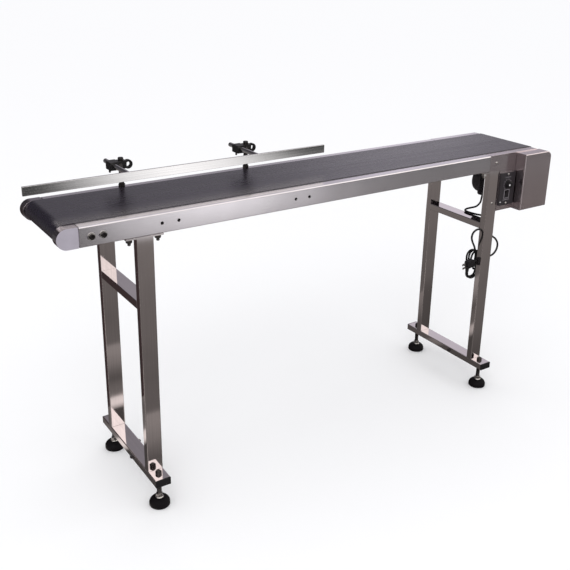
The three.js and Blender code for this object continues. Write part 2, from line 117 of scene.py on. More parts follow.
def mix_colour(tree, factor, first, second, blend="MIX"):
    """Mix of two colours; each may be a tuple or a socket, and factor a number or a socket."""
    mix = tree.nodes.new("ShaderNodeMix")
    mix.data_type = "RGBA"
    mix.blend_type = blend
    for socket, value in ((mix.inputs["A"], first), (mix.inputs["B"], second)):
        if isinstance(value, tuple):
            socket.default_value = (*value, 1)
        else:
            tree.links.new(value, socket)
    if isinstance(factor, float):
        mix.inputs["Factor"].default_value = factor
    else:
        tree.links.new(factor, mix.inputs["Factor"])
    return mix.outputs["Result"]


def multiply(tree, a, b):
    node = tree.nodes.new("ShaderNodeMath")
    node.operation = "MULTIPLY"
    tree.links.new(a, node.inputs[0])
    tree.links.new(b, node.inputs[1])
    return node.outputs[0]


def add_bump(tree, shader, height, strength, distance):
    bump = tree.nodes.new("ShaderNodeBump")
    bump.inputs["Strength"].default_value = strength
    bump.inputs["Distance"].default_value = distance
    tree.links.new(height, bump.inputs["Height"])
    tree.links.new(bump.outputs["Normal"], shader.inputs["Normal"])


def darker(colour, share):
    return tuple(c * share for c in colour)


GRAIN = {"x": (3, 420, 420), "y": (420, 3, 420), "z": (420, 420, 3), "none": (60, 60, 60)}


def metal(name, colour, roughness, grain, depth=0.08, smudge=0.1, bump=0.05):
    """Stainless or plated steel: fine lines along `grain`, broad cloudy handling marks."""
    material, tree, shader = start_material(name)
    lines = noise(tree, GRAIN[grain], 1.0, 4, 0.6)
    clouds = noise(tree, (1, 1, 1), 7.0, 3, 0.5)
    tone = mix_colour(tree, spread(tree, lines, 0, 1), darker(colour, 1 - depth), colour)
    stain = mix_colour(tree, spread(tree, clouds, 0, 1), (1 - smudge,) * 3, (1, 1, 1))
    tree.links.new(mix_colour(tree, 1.0, tone, stain, "MULTIPLY"), shader.inputs["Base Color"])
    rough = multiply(tree, spread(tree, lines, roughness * 0.85, roughness * 1.15),
                     spread(tree, clouds, 1.12, 0.92))
    tree.links.new(rough, shader.inputs["Roughness"])
    shader.inputs["Metallic"].default_value = 1.0
    add_bump(tree, shader, lines, bump, 0.0004)
    return material


def moulded(name, colour, roughness, grain_scale=900.0, bump=0.12, specular=0.5, lift=1.35):
    """Plastic or rubber: fine moulded grain, slightly paler where it has been handled."""
    material, tree, shader = start_material(name)
    fine = noise(tree, (1, 1, 1), grain_scale, 2, 0.5)
    clouds = noise(tree, (1, 1, 1), 22.0, 4, 0.6)
    pale = tuple(min(1.0, c * lift) for c in colour)
    tree.links.new(mix_colour(tree, spread(tree, clouds, 0, 1, 0.35, 0.75), colour, pale),
                   shader.inputs["Base Color"])
    tree.links.new(spread(tree, clouds, roughness * 1.1, roughness * 0.85),
                   shader.inputs["Roughness"])
    shader.inputs["Specular IOR Level"].default_value = specular
    add_bump(tree, shader, fine, bump, 0.0003)
    return material


def belt_material():
    """Matte PVC conveyor belt: fabric grain pressed into the top, faint running streaks."""
    material, tree, shader = start_material("belt_pvc_grain")
    streaks = noise(tree, (1.2, 60, 60), 1.0, 4, 0.6)
    clouds = noise(tree, (1, 1, 1), 4.5, 4, 0.55)
    tone = mix_colour(tree, spread(tree, clouds, 0, 1), (0.009, 0.006, 0.013),
                    (0.013, 0.010, 0.019))
    streak = mix_colour(tree, spread(tree, streaks, 0, 1), (0.86,) * 3, (1.06,) * 3)
    tree.links.new(mix_colour(tree, 1.0, tone, streak, "MULTIPLY"), shader.inputs["Base Color"])
    tree.links.new(spread(tree, streaks, 0.24, 0.31), shader.inputs["Roughness"])
    shader.inputs["Specular IOR Level"].default_value = 1.0
    shader.inputs["Specular Tint"].default_value = (0.96, 0.93, 1.0, 1)
    place = tree.nodes.new("ShaderNodeTexCoord")
    weave = tree.nodes.new("ShaderNodeTexVoronoi")
    weave.inputs["Scale"].default_value = 900
    tree.links.new(place.outputs["Object"], weave.inputs["Vector"])
    add_bump(tree, shader, weave.outputs["Distance"], 0.25, 0.0004)
    return material


RAIL_STEEL = metal("rail_brushed_steel", (0.80, 0.76, 0.80), 0.17, "x", 0.10, 0.08)
PLATE_STEEL = metal("plate_brushed_steel", (0.76, 0.68, 0.71), 0.20, "x", 0.14, 0.14)
COVER_STEEL = metal("cover_brushed_steel", (0.78, 0.69, 0.72), 0.20, "z", 0.12, 0.14)
LEG_STEEL = metal("leg_polished_steel", (0.82, 0.76, 0.77), 0.055, "z", 0.10, 0.12)
BAR_STEEL = metal("cross_polished_steel", (0.84, 0.78, 0.79), 0.05, "y", 0.10, 0.10)
GUIDE_STEEL = metal("guide_brushed_steel", (0.84, 0.82, 0.82), 0.09, "x", 0.12, 0.05)
CHROME = metal("bright_rod_steel", (0.80, 0.78, 0.80), 0.08, "y", 0.06, 0.05)
ZINC = metal("zinc_plated_steel", (0.55, 0.53, 0.52), 0.30, "none", 0.15, 0.2)
DARK_ZINC = metal("dark_fastener_steel", (0.13, 0.12, 0.12), 0.35, "none", 0.2, 0.2)
BED_STEEL = metal("bed_sheet_steel", (0.5, 0.49, 0.5), 0.38, "x", 0.1, 0.15)
DRUM_STEEL = metal("turned_roller_steel", (0.35, 0.34, 0.35), 0.35, "y", 0.15, 0.1)
BELT = belt_material()
CAP_GREY = moulded("cap_grey_nylon", (0.33, 0.305, 0.35), 0.38, 700, 0.1, 0.5, 1.15)
CAP_RIM = metal("cap_rim_steel", (0.42, 0.38, 0.42), 0.20, "y", 0.12, 0.12)
BLACK_STEEL = metal("blackened_bolt_steel", (0.05, 0.045, 0.045), 0.30, "none", 0.2, 0.2)
BLACK_PLASTIC = moulded("black_moulded_plastic", (0.009, 0.008, 0.009), 0.36, 900, 0.15, 0.3)
BLACK_RUBBER = moulded("black_rubber_grain", (0.005, 0.004, 0.005), 0.6, 600, 0.25, 0.08)
CORD_PVC = moulded("cord_black_pvc", (0.008, 0.007, 0.008), 0.38, 800, 0.1, 0.3)
MOTOR_PAINT = moulded("motor_black_enamel", (0.016, 0.012, 0.016), 0.42, 500, 0.2)
PANEL_FACE = moulded("panel_dark_face", (0.019, 0.016, 0.019), 0.34, 700, 0.08)
MARK_GREY = moulded("panel_mark_grey", (0.30, 0.28, 0.30), 0.5, 500, 0.05)
MARK_WHITE = moulded("pointer_white", (0.80, 0.78, 0.78), 0.4, 500, 0.05, 0.5, 1.0)

# ---------------------------------------------------------------- mesh helpers


def finish_mesh(name, bm, angle=35.0):
    mesh = bpy.data.meshes.new(name)
    bm.to_mesh(mesh)
    bm.free()
    mesh.shade_smooth()
    mesh.set_sharp_from_angle(angle=math.radians(angle))
    return mesh


def place(name, mesh, material, body, slot, replaces=()):
    piece = bpy.data.objects.new(name, mesh)
    mesh.materials.clear()
    mesh.materials.append(material)
    bpy.context.scene.collection.objects.link(piece)
    flat = piece.modifiers.new("flat_faces", "WEIGHTED_NORMAL")
    flat.keep_sharp = True
    flat.weight = 100
    if body:  # a piece with no body of its own is left unattached
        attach(piece, body)
    if replaces:
        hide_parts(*replaces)
    return piece


def paint(piece, material, pick):
    """Gives the faces of a piece that `pick` accepts a second material."""
    piece.data.materials.append(material)
    for face in piece.data.polygons:
        if pick(face):
            face.material_index = 1


def is_bend(edge, least=30.0):
    return edge.is_manifold and edge.calc_face_angle(0.0) > math.radians(least)


def refine(node, material, small=0.4, rounds=(), segments=2, angle=35.0, rides=True):
    """The node's own shape with its facets merged and its edges broken or rounded."""
    bm = bmesh.new()
    bm.from_mesh(NODES[node].data)
    bmesh.ops.remove_doubles(bm, verts=bm.verts, dist=2e-6)
    bmesh.ops.dissolve_limit(bm, angle_limit=math.radians(0.6), verts=bm.verts[:],
                             edges=bm.edges[:])
    for pick, radius, steps in rounds:
        edges = [e for e in bm.edges if is_bend(e) and pick(e)]
        bmesh.ops.bevel(bm, geom=edges, offset=radius * MM, offset_type="OFFSET",
                        segments=steps, profile=0.5, affect="EDGES", clamp_overlap=True)
    if small:
        edges = [e for e in bm.edges if is_bend(e)]
        bmesh.ops.bevel(bm, geom=edges, offset=small * MM, offset_type="OFFSET",
                        segments=segments, profile=0.5, affect="EDGES", clamp_overlap=True)
    mesh = finish_mesh(node + "_shape", bm, angle)
    body = BODY_OF[node] if rides else None
    return place(node + "_finish", mesh, material, body, SLOT_OF[node], [node])


def along(axis, length):
    """Picks convex edges that run along an axis and are at least `length` mm long."""
    index = "xyz".index(axis)

    def pick(edge):
        span = edge.verts[1].co - edge.verts[0].co
        return (edge.is_convex and span.length > length * MM
                and abs(span[index]) > 0.999 * span.length)
    return pick


def beyond(axis, limit, sign):
    """Picks edges that lie wholly past the plane `limit` mm along an axis, on side `sign`."""
    index = "xyz".index(axis)

    def pick(edge):
        return all(sign * v.co[index] > sign * limit * MM for v in edge.verts)
    return pick


AXES = {
    "+z": Matrix.Identity(4),
    "-z": Matrix.Rotation(math.pi, 4, "X"),
    "+y": Matrix.Rotation(-math.pi / 2, 4, "X"),
    "-y": Matrix.Rotation(math.pi / 2, 4, "X"),
    "+x": Matrix.Rotation(math.pi / 2, 4, "Y"),
    "-x": Matrix.Rotation(-math.pi / 2, 4, "Y"),
}


def put(bm, before, at, axis):
    """Turns and moves what was added since `before` from local mm to metres in place."""
    fresh = [v for v in bm.verts if v not in before]
    bmesh.ops.transform(bm, matrix=Matrix.Scale(MM, 4), verts=fresh)
    where = Matrix.Translation(Vector(at) * MM) @ AXES[axis]
    bmesh.ops.transform(bm, matrix=where, verts=fresh)


def lathe(bm, profile, at=(0, 0, 0), axis="+z", sides=32, wave=None):
    """Solid of revolution of (radius, height) points; wave(angle) scales the radius."""
    before = set(bm.verts)
    rings = []
    for radius, height in profile:
        if radius == 0:
            rings.append([bm.verts.new((0, 0, height))])
            continue
        ring = []
        for i in range(sides):
            angle = 2 * math.pi * i / sides
            r = radius * (wave(angle) if wave else 1)
            ring.append(bm.verts.new((r * math.cos(angle), r * math.sin(angle), height)))
        rings.append(ring)
    for low, high in zip(rings, rings[1:]):
        for i in range(sides):
            j = (i + 1) % sides
            if len(low) == 1:
                bm.faces.new((low[0], high[j], high[i]))
            elif len(high) == 1:
                bm.faces.new((low[i], low[j], high[0]))
            else:
                bm.faces.new((low[i], low[j], high[j], high[i]))
    put(bm, before, at, axis)


def prism(bm, outline, low, high, at=(0, 0, 0), axis="+z", bevel=0.0):
    """Extruded outline in mm, counter-clockwise, from height low to high."""
    before = set(bm.verts)
    bottom = [bm.verts.new((x, y, low)) for x, y in outline]
    top = [bm.verts.new((x, y, high)) for x, y in outline]
    count = len(outline)
    faces = [bm.faces.new(top), bm.faces.new(bottom[::-1])]
    for i in range(count):
        j = (i + 1) % count
        faces.append(bm.faces.new((bottom[i], bottom[j], top[j], top[i])))
    if bevel:
        edges = list({e for f in faces for e in f.edges if is_bend(e)})
        bmesh.ops.bevel(bm, geom=edges, offset=bevel, offset_type="OFFSET", segments=2,
                        profile=0.5, affect="EDGES", clamp_overlap=True)
    put(bm, before, at, axis)


def block(bm, low, high, bevel=0.4):
    outline = [(low[0], low[1]), (high[0], low[1]), (high[0], high[1]), (low[0], high[1])]
    prism(bm, outline, low[2], high[2], bevel=bevel)


def ring_points(radius, count, turn=0.0):
    step = 2 * math.pi / count
    return [(radius * math.cos(turn + i * step), radius * math.sin(turn + i * step))
            for i in range(count)]


def rounded_rect(half_x, half_y, radius, steps=5):
    points = []
    corners = [(half_x, half_y, 0), (-half_x, half_y, 1), (-half_x, -half_y, 2),
               (half_x, -half_y, 3)]
    for x, y, quarter in corners:
        cx, cy = x - math.copysign(radius, x), y - math.copysign(radius, y)
        for i in range(steps + 1):
            angle = (quarter + i / steps) * math.pi / 2
            points.append((cx + radius * math.cos(angle), cy + radius * math.sin(angle)))
    return points


def piece_of(name, build, material, body, slot, replaces=(), angle=35.0):
    bm = bmesh.new()
    build(bm)
    bmesh.ops.recalc_face_normals(bm, faces=bm.faces[:])
    return place(name, finish_mesh(name, bm, angle), material, body, slot, replaces)


def threads(radius, low, high, pitch, depth):
    """(radius, height) points of a threaded rod's side."""
    points = []
    turns = int((high - low) / pitch)
    for i in range(turns):
        z = low + i * pitch
        points += [(radius - depth, z), (radius, z + 0.5 * pitch)]
    return points


# ---------------------------------------------------------------- mains cord

CORD_R = 3.0
GLAND_EXIT = (634, -47.7, 612)
GLAND_SEAT = (634, -71.6, 612)
PLUG_AT = (532, -101.5, 413)
PLUG_TILT = -0.2
HANK_AT = (567, -77, 396.5)
HANK_TILT = 0.12
HANK_RADIUS = 19.0
HANK_STRAIGHT = 25.0
HANK_TURNS = 3
HANK_PITCH = 6.05
HANK_SPREAD = 0.2
TO_HANK = [
    GLAND_EXIT, (634, -40, 611.5), (634, -31, 604), (634, -28, 590),
    (632, -26, 573), (622, -20, 560), (610, -5, 552.5), (599, -1, 550), (589, -6, 548.8),
    (585, -19, 548.4), (586.5, -38, 548.4), (590, -54, 548.4), (597, -70, 547.4),
    (600.5, -84, 536), (599, -93, 516), (597, -97, 497), (595, -99, 478), (590, -100, 460),
    (579, -101, 447), (563, -101.5, 444), (549, -102, 453), (540, -103, 469),
    (531, -103, 484), (526, -103, 499), (530.5, -103, 512.5), (545, -103, 520.5),
    (563, -103, 518), (582, -103, 508), (614, -103, 488), (634, -103, 473),
    (644, -103, 456), (641, -103, 437), (629, -101, 423), (616, -95, 416), (603, -90, 408),
    (591.5, -87, 396)]
TO_PLUG = [
    (590, -68.5, 371), (600, -72, 362), (611, -80, 365), (616, -89, 379), (612, -96, 396),
    (603, -100.5, 411), (589, -101.5, 420), (574, -101.5, 421.5), (560, -101.5, 418.7)]


def hank_point(u, w, y, lean=0.0):
    c, s = math.cos(HANK_TILT + lean), math.sin(HANK_TILT + lean)
    return (HANK_AT[0] + u * c + w * s, y, HANK_AT[2] - u * s + w * c)


def hank_turns():
    """The wound runs: down the +X side, round the bottom, up the -X side, round the top."""
    lap = 4 * HANK_STRAIGHT + 2 * math.pi * HANK_RADIUS
    start_y = HANK_AT[1] - HANK_PITCH * HANK_TURNS / 2
    first = HANK_STRAIGHT + 8
    total = lap * HANK_TURNS + 12
    count = HANK_TURNS * 22
    points = []
    for i in range(count + 1):
        run = total * i / count
        y = start_y + HANK_PITCH * HANK_TURNS * i / count
        s = (first + run) % lap
        if s < 2 * HANK_STRAIGHT:
            u, w = HANK_RADIUS, HANK_STRAIGHT - s
        elif s < 2 * HANK_STRAIGHT + math.pi * HANK_RADIUS:
            angle = (s - 2 * HANK_STRAIGHT) / HANK_RADIUS
            u, w = HANK_RADIUS * math.cos(angle), -HANK_STRAIGHT - HANK_RADIUS * math.sin(angle)
        elif s < 4 * HANK_STRAIGHT + math.pi * HANK_RADIUS:
            u = -HANK_RADIUS
            w = -HANK_STRAIGHT + (s - 2 * HANK_STRAIGHT - math.pi * HANK_RADIUS)
        else:
            angle = (s - 4 * HANK_STRAIGHT - math.pi * HANK_RADIUS) / HANK_RADIUS
            u, w = -HANK_RADIUS * math.cos(angle), HANK_STRAIGHT + HANK_RADIUS * math.sin(angle)
        points.append(hank_point(u, w, y, HANK_SPREAD * math.sin(2 * math.pi * i / count)))
    return points


def smooth_line(points, steps=6):
    """Centripetal Catmull-Rom line through the points, as Vectors in mm."""
    p = [Vector(q) for q in points]
    p = [2 * p[0] - p[1]] + p + [2 * p[-1] - p[-2]]
    line = []
    for a, b, c, d in zip(p, p[1:], p[2:], p[3:]):
        t1 = (b - a).length ** 0.5
        t2 = t1 + (c - b).length ** 0.5
        t3 = t2 + (d - c).length ** 0.5
        for i in range(steps):
            t = t1 + (t2 - t1) * i / steps
            ab = a.lerp(b, t / t1)
            bc = b.lerp(c, (t - t1) / (t2 - t1))
            cd = c.lerp(d, (t - t2) / (t3 - t2))
            abc = ab.lerp(bc, t / t2)
            bcd = bc.lerp(cd, (t - t1) / (t3 - t1))
            line.append(abc.lerp(bcd, (t - t1) / (t2 - t1)))
    line.append(p[-2])
    return line


def curve_piece(name, line, radius, material, body, replaces=()):
    data = bpy.data.curves.new(name, "CURVE")
    data.dimensions = "3D"
    data.bevel_depth = radius * MM
    data.bevel_resolution = 3
    data.use_fill_caps = True
    spline = data.splines.new("POLY")
    spline.points.add(len(line) - 1)
    for point, where in zip(spline.points, line):
        point.co = (*(Vector(where) * MM), 1)
    spline.use_smooth = True
    data.materials.append(material)
    piece = bpy.data.objects.new(name, data)
    bpy.context.scene.collection.objects.link(piece)
    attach(piece, body)
    if replaces:
        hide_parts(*replaces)
    return piece


cord_line = smooth_line(TO_HANK + hank_turns() + TO_PLUG)
CORD_LENGTH = sum((b - a).length for a, b in zip(cord_line, cord_line[1:])) * MM
print("cord length", round(CORD_LENGTH, 4))
cord = curve_piece("mains_cord_run", cord_line, CORD_R, CORD_PVC, ROOT,
                   ["mains_cord", "cord_hank", "plug_lead"])


def gland(bm):
    """Hexagon nut on the drive plate with a ribbed boot that tapers round the cord."""
    prism(bm, ring_points(8, 6, 0.5236), 0, 7.5, GLAND_SEAT, "+y", 0.7)
    lathe(bm, [(0, 7), (6.6, 7), (6.6, 9), (6.2, 9.6), (6.2, 12.4), (6.6, 13), (6.3, 14.4),
               (5.5, 15), (5.3, 16), (4.9, 16.3), (4.9, 17.1), (5.1, 17.5), (4.6, 18.8),
               (4.4, 19.3), (4.6, 19.9), (4.1, 21.3), (3.9, 21.8), (4.0, 22.3), (3.6, 24),
               (0, 24)], GLAND_SEAT, "+y", 28)


gland_piece = piece_of("cord_gland_boot", gland, BLACK_PLASTIC, ROOT, "black_plastic",
                       ["cord_gland"])


def lay_plug(bm):
    """Turns and moves a shape made about the plug's centre to where the plug lies."""
    where = Matrix.Translation(Vector(PLUG_AT) * MM) @ Matrix.Rotation(PLUG_TILT, 4, "Y")
    bmesh.ops.transform(bm, matrix=where, verts=bm.verts[:])


def plug_shape(bm):
    """Moulded body with a ribbed grip that the cord enters."""
    outline = rounded_rect(14, 11, 5)
    outline = [(x - 2, z) for x, z in outline]
    prism(bm, outline, -8, 8, (0, 0, 0), "-y", 2.2)
    grip = [(5.6, 11), (6.2, 12.5), (5.6, 14), (5.4, 15), (5.9, 16.2), (5.1, 17.6), (4.9, 18.5),
            (5.3, 19.6), (4.6, 21), (4.4, 22), (4.8, 23), (4.2, 24.4), (4.0, 25.5), (4.3, 26.4),
            (3.7, 29.5)]
    lathe(bm, [(0, 9)] + grip + [(0, 29.5)], (0, 0, 0), "+x", 24)
    for z in (-6, 6):
        block(bm, (-20, -1.6, z - 3.4), (-14, 1.6, z + 3.4), 0.5)
    lay_plug(bm)


plug = piece_of("mains_plug_body", plug_shape, BLACK_PLASTIC, ROOT, "black_plastic",
                ["mains_plug"])


def plug_blades(bm):
    for z in (-6, 6):
        block(bm, (-32.8, -0.8, z - 3), (-19, 0.8, z + 3), 0.5)
    lay_plug(bm)


blades = piece_of("mains_plug_blades", plug_blades, ZINC, ROOT, "zinc_steel")


def tie_line():
    """Two slanted wraps of a soft tie round the hank, ending in a twist on the near side."""
    points = []
    for i in range(49):
        angle = 2 * math.pi * i / 24 + 0.6
        u = 23.6 * math.copysign(abs(math.cos(angle)) ** 0.35, math.cos(angle))
        y = HANK_AT[1] + 13.2 * math.copysign(abs(math.sin(angle)) ** 0.45, math.sin(angle))
        points.append(hank_point(u, -3.5 + 7 * i / 48 + 0.22 * u, y))
    return points


tie = curve_piece("hank_tie_wraps", tie_line(), 1.5, BLACK_PLASTIC, ROOT,
                  ["hank_tie"])

# ---------------------------------------------------------------- frame, belt and rollers

for rail in ("near_rail", "far_rail"):
    sign = NEAR if rail.startswith("near") else FAR
    lower_edge = beyond("y", 127.5 * sign, sign)
    refine(rail, RAIL_STEEL, 0.35, [
        (lambda e, pick=along("x", 400), outer=lower_edge: pick(e) and outer(e), 1.6, 3)])
refine("slider_bed", BED_STEEL, 0.4)
for tie_name in ("tail", "middle", "head"):
    refine(tie_name + "_cross_tie", ZINC, 0.5, [(along("y", 150), 2.0, 3)])
belt = refine("conveyor_belt", BELT, 0.5, rides=False)
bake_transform(belt)
for roller in ("tail_roller", "drive_roller"):
    refine(roller, DRUM_STEEL, 0.6)
for cap, sign in (("near_tail_cap", NEAR), ("far_tail_cap", FAR)):
    paint(refine(cap, CAP_GREY, 0.9, segments=3), CAP_RIM,
          lambda f, outward=sign: f.normal.y * outward < 0.5)
for which in ("near", "far"):
    for number in (1, 2):
        paint(refine(f"{which}_take_up_bolt_{number}", ZINC, 0.5), BLACK_STEEL,
              lambda f: abs(f.center.y) > 130.5 * MM)
    refine(f"{which}_drive_plate", PLATE_STEEL if which == "near" else RAIL_STEEL, 0.4)
refine("drive_cover", COVER_STEEL, 0.4, [(beyond("y", -164.3, -1), 3.0, 5)])
refine("gearbox", ZINC, 1.2, segments=3)
for pulley in ("motor_pulley", "roller_pulley"):
    refine(pulley, ZINC, 0.4)
refine("drive_belt", BLACK_RUBBER, 0.4)

# ---------------------------------------------------------------- motor

MOTOR_X, MOTOR_Z = 700.2, 625.0
FIN_STEP = 6.0
FIN_HALF = 1.1
FIN_FOOT, FIN_TIP = 36, 41.6
FIN_Y = (-53, 8)


def motor_shape(bm):
    """Square finned housing between two flanges, with a round fan cowl at its far end."""
    at = (MOTOR_X, 0, MOTOR_Z)
    prism(bm, rounded_rect(37, 37, 9), 52, -8, at, "-y", 0)
    for low, high in ((-59.6, -52), (7.5, 15)):
        prism(bm, rounded_rect(42, 42, 10), -high, -low, at, "-y", 1.2)
    front, back = FIN_Y
    for i in range(-5, 6):
        low, high = i * FIN_STEP - FIN_HALF, i * FIN_STEP + FIN_HALF
        block_at(bm, at, (FIN_FOOT, front, low), (FIN_TIP, back, high))
        block_at(bm, at, (-FIN_TIP, front, low), (-FIN_FOOT, back, high))
        block_at(bm, at, (low, front, -FIN_TIP), (high, back, -FIN_FOOT))
        block_at(bm, at, (low, front, FIN_FOOT), (high, back, FIN_TIP))
    lathe(bm, [(0, 14), (41.8, 14), (41.8, 40), (40.5, 44), (37, 46.8), (30, 46.8), (29, 45.5),
               (12, 45.5), (11, 46.8), (0, 46.8)], at, "+y", 64)


def block_at(bm, at, low, high, bevel=0.4):
    before = set(bm.verts)
    block(bm, low, high, bevel)
    fresh = [v for v in bm.verts if v not in before]
    bmesh.ops.transform(bm, matrix=Matrix.Translation(Vector(at) * MM), verts=fresh)


piece_of("motor_housing", motor_shape, MOTOR_PAINT, ROOT, "black_paint", ["motor"])
motor_lead = smooth_line([
    (646.5, -80, 640), (652, -72, 642), (655, -58, 640), (655.5, -46, 634), (657, -38, 628),
    (663, -34, 626)])
curve_piece("motor_lead", motor_lead, 2.6, CORD_PVC, ROOT)

# ---------------------------------------------------------------- control panel

refine("control_panel", PANEL_FACE, 0.8, segments=3)
refine("control_box", BLACK_PLASTIC, 1.5, segments=3)
refine("power_switch", BLACK_PLASTIC, 0.5)
KNOB_X, KNOB_Z = 622.3, 661.0
SWITCH_Z = 631.0
PANEL_Y = -135.0


def knob_shape(bm):
    """Skirt and fluted grip."""
    def flutes(angle):
        return 1 - 0.035 * (0.5 + 0.5 * math.cos(18 * angle))
    skirt = [(0, 0.5), (3, 0.5), (12, 0.5), (12, 1.4), (11.4, 2.2), (10.4, 2.6)]
    lathe(bm, skirt + [(0, 2.6)], (KNOB_X, PANEL_Y, KNOB_Z), "-y", 72)
    grip = [(0, 2.4), (10, 2.4), (9.8, 8), (9.5, 12.2), (9.0, 13.4), (7.9, 13.9), (0, 13.9)]
    lathe(bm, grip, (KNOB_X, PANEL_Y, KNOB_Z), "-y", 144, flutes)


piece_of("speed_knob_grip", knob_shape, BLACK_PLASTIC, "speed_knob", "black_plastic",
         ["speed_knob"])


def pointer_shape(bm):
    lathe(bm, [(0, 12.8), (2.6, 12.8), (2.6, 13.9), (2.3, 14.2), (0, 14.2)],
          (KNOB_X - 5.8, PANEL_Y, KNOB_Z + 1.0), "-y", 24)


piece_of("speed_knob_pointer", pointer_shape, MARK_WHITE, "speed_knob", "grey_plastic")


DIAL_RADIUS = 15.6
DIAL_TICKS = 11


def panel_marks(bm):
    """Dial ticks, a frame round the rocker, a line below it and dashes above the dial."""
    for i in range(DIAL_TICKS):
        angle = math.radians(225 - 270 * i / (DIAL_TICKS - 1))
        cx = KNOB_X + DIAL_RADIUS * math.cos(angle)
        cz = KNOB_Z + DIAL_RADIUS * math.sin(angle)
        lathe(bm, [(0, 0), (1.3, 0), (1.2, 0.25), (0, 0.25)], (cx, PANEL_Y, cz), "-y", 12)
    frames = [((KNOB_X - 11, SWITCH_Z - 13.4), (KNOB_X + 11, SWITCH_Z - 12.4)),
              ((KNOB_X - 11, SWITCH_Z + 12.4), (KNOB_X + 11, SWITCH_Z + 13.4)),
              ((KNOB_X - 11, SWITCH_Z - 13.4), (KNOB_X - 10, SWITCH_Z + 13.4)),
              ((KNOB_X + 10, SWITCH_Z - 13.4), (KNOB_X + 11, SWITCH_Z + 13.4)),
              ((KNOB_X - 14, SWITCH_Z - 18.6), (KNOB_X + 14, SWITCH_Z - 17.6))]
    frames += [((KNOB_X + i * 5 - 1.4, KNOB_Z + 21.4), (KNOB_X + i * 5 + 1.4, KNOB_Z + 22.8))
               for i in range(-2, 3)]
    for (x0, z0), (x1, z1) in frames:
        block(bm, (min(x0, x1), PANEL_Y - 0.25, min(z0, z1)),
              (max(x0, x1), PANEL_Y + 0.05, max(z0, z1)), 0)


piece_of("panel_dial_marks", panel_marks, MARK_GREY, ROOT, "grey_plastic")


def panel_lamp(bm):
    lathe(bm, [(0, 0), (1.8, 0), (1.7, 0.5), (1.1, 0.9), (0, 1.0)], (598, PANEL_Y, 608),
          "-y", 20)


piece_of("panel_white_dot", panel_lamp, MARK_WHITE, ROOT, "grey_plastic")

# ---------------------------------------------------------------- screws, nuts and bolts


def cross_head(radius, height):
    """Pan-head screw with a cross recess, in mm, its seat at 0 and its head along +Z."""
    bm = bmesh.new()
    lathe(bm, [(0, -0.2), (radius, -0.2), (radius, 0.3 * height), (0.93 * radius, 0.6 * height),
               (0.72 * radius, 0.85 * height), (0.4 * radius, 0.97 * height), (0, height)],
          sides=28)
    bmesh.ops.recalc_face_normals(bm, faces=bm.faces[:])
    head = bpy.data.objects.new("cut_head", finish_mesh("cut_head", bm))
    bm = bmesh.new()
    arm, width = 0.58 * radius, 0.16 * radius
    cross = [(arm, -width), (arm, width), (width, width), (width, arm), (-width, arm),
             (-width, width), (-arm, width), (-arm, -width), (-width, -width), (-width, -arm),
             (width, -arm), (width, -width)]
    prism(bm, cross, 0.35 * height, 1.5 * height)
    tool = bpy.data.objects.new("cut_tool", finish_mesh("cut_tool", bm))
    for o in (head, tool):
        bpy.context.scene.collection.objects.link(o)
    cut = head.modifiers.new("cut", "BOOLEAN")
    cut.operation = "DIFFERENCE"
    cut.object = tool
    graph = bpy.context.evaluated_depsgraph_get()
    mesh = bpy.data.meshes.new_from_object(head.evaluated_get(graph))
    for o in (head, tool):
        bpy.data.objects.remove(o)
    mesh.shade_smooth()
    mesh.set_sharp_from_angle(angle=math.radians(35))
    return mesh


SCREW_MESH = cross_head(1.0, 0.62)
PLATE_FACE_Y = 128.5
FLANGE_UNDERSIDE = 703.1


def screw(name, at, axis, radius, material=ZINC, body=ROOT, slot="zinc_steel", turn=0.4):
    mesh = SCREW_MESH.copy()
    grow = Matrix.Scale(radius, 4)
    where = Matrix.Translation(Vector(at) * MM) @ AXES[axis]
    mesh.transform(where @ Matrix.Rotation(turn, 4, "Z") @ grow)
    return place(name, mesh, material, body, slot)


def hanging_bolt(name, x, y, material):
    """Washer, nut and thread end under a leg's top plate."""
    at = (x, y, FLANGE_UNDERSIDE)

    def build(bm):
        lathe(bm, [(0, 0), (8, 0), (8.4, 0.5), (8.4, 1.2), (8, 1.6), (0, 1.6)], at, "-z", 32)
        prism(bm, ring_points(7.3, 6, 0.3), 1.6, 8.0, at, "-z", 0.6)
        lathe(bm, [(0, 7)] + threads(4.0, 7.4, 14, 1.25, 0.45) + [(3.2, 14.8), (0, 14.8)],
              at, "-z", 20)
    return piece_of(name, build, material, ROOT, "zinc_steel")


LEG_X = {"tail": -547.2, "head": 569.6}
LEG_Y = 118.5
for stand, centre in LEG_X.items():
    offsets = (-35, 35) if stand == "tail" else (-35,)
    for which, sign in (("near", NEAR), ("far", FAR)):
        for count, offset in enumerate(offsets, 1):
            # Painted shade: the tail stand's flange bolts get the dark fastener steel for the
            # shade they sit in under the rails; the head stand's same bolts get plain zinc.
            hanging_bolt(f"{stand}_{which}_flange_bolt_{count}", centre + offset,
                         sign * LEG_Y, DARK_ZINC if stand == "tail" else ZINC)

screw("drive_plate_screw", (572.3, -PLATE_FACE_Y, 731.2), "-y", 4.2)
screw("far_drive_plate_screw", (572.3, PLATE_FACE_Y, 731.2), "+y", 4.2)
screw("leg_screw", (569.5, -PLATE_FACE_Y, 607.5), "-y", 3.6)
screw("panel_screw_top", (KNOB_X, PANEL_Y, 692), "-y", 3.8)
screw("panel_screw_bottom", (KNOB_X, PANEL_Y, 602.5), "-y", 3.8)
for number, (dx, dz) in enumerate(((-30, -30), (30, -30), (-30, 30), (30, 30)), 1):
    screw(f"motor_flange_screw_{number}", (MOTOR_X + dx, 15, MOTOR_Z + dz), "+y", 3.0,
          DARK_ZINC)


def small_bolt(name, at, axis, material):
    """Hexagon head with a short thread end."""
    def build(bm):
        prism(bm, ring_points(5.6, 6, 0.2), 0, 4.2, at, axis, 0.5)
        lathe(bm, [(0, 3.8), (3.0, 3.8), (3.0, 6.4), (2.4, 7), (0, 7)], at, axis, 16)
    return piece_of(name, build, material, ROOT, "zinc_steel")


